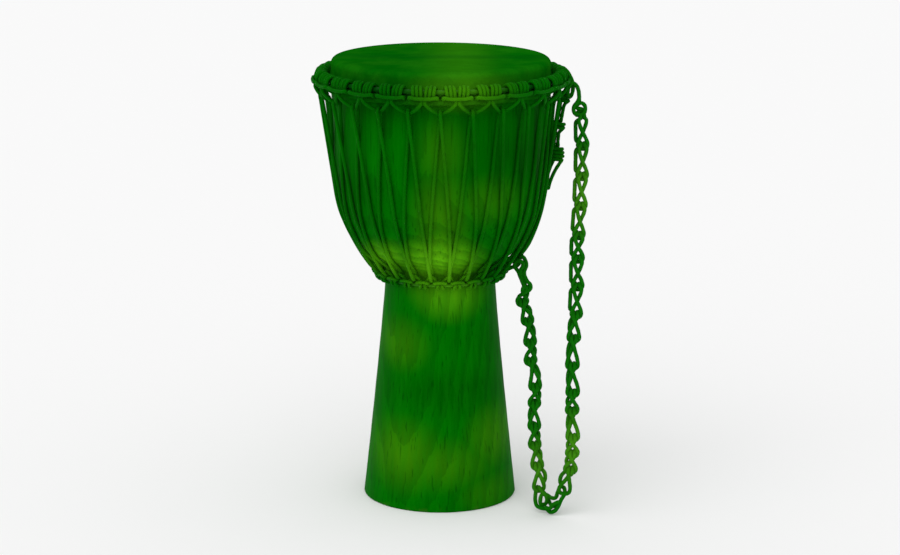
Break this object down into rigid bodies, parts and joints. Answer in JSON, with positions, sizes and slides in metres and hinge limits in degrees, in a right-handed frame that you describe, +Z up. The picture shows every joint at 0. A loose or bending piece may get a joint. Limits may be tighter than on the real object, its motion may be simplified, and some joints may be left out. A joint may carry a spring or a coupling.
{
  "type": "djembe",
  "caption": "Rope-tuned goblet drum with a skin head, steel rings, looped lacing and a chain-knotted carrying strap.",
  "frame": {"origin": "middle of the whole object's footprint, on the floor", "axes": "+Z up along the drum's axis, +X towards the side the strap hangs on, +Y away from the side the strap leans to"},
  "size_m": [0.3739, 0.3456, 0.618],
  "materials": {
    "wood": "green-stained hardwood, satin",
    "skin": "green-dyed goat skin, dry and matt",
    "ring_steel": "green paint over round steel rod, semi-gloss",
    "loop_rope": "braided polyester cord, matt",
    "lacing_rope": "braided polyester cord, matt",
    "strap_rope": "braided polyester cord, worn, matt"
  },
  "bodies": {
    "drum": {"shell": "wood", "drumhead": "skin", "bottom_ring": "ring_steel", "bottom_loops": "loop_rope", "lacing_rope": "lacing_rope", "tail_rope": "lacing_rope", "strap_crown_tie": "strap_rope", "strap_neck_tie": "strap_rope"},
    "crown": {"crown_ring": "ring_steel", "flesh_ring": "ring_steel", "skin_tuck": "skin", "crown_loops": "loop_rope"},
    "strap": {"strap_chain_long": "strap_rope", "strap_chain_short": "strap_rope"}
  },
  "joints": [
    {"name": "head_tension", "type": "slide", "parent": "drum", "child": "crown", "axis": [0, 0, -1], "range_m": [0, 0.006], "deforming": ["lacing_rope", "tail_rope", "strap_crown_tie"]},
    {"name": "strap_swing", "type": "hinge", "parent": "drum", "child": "strap", "pos_m": [0.1085, -0.032, 0.3], "axis": [0.2547, 0.0427, 0.9661], "range_deg": [-60, 80]}
  ]
}
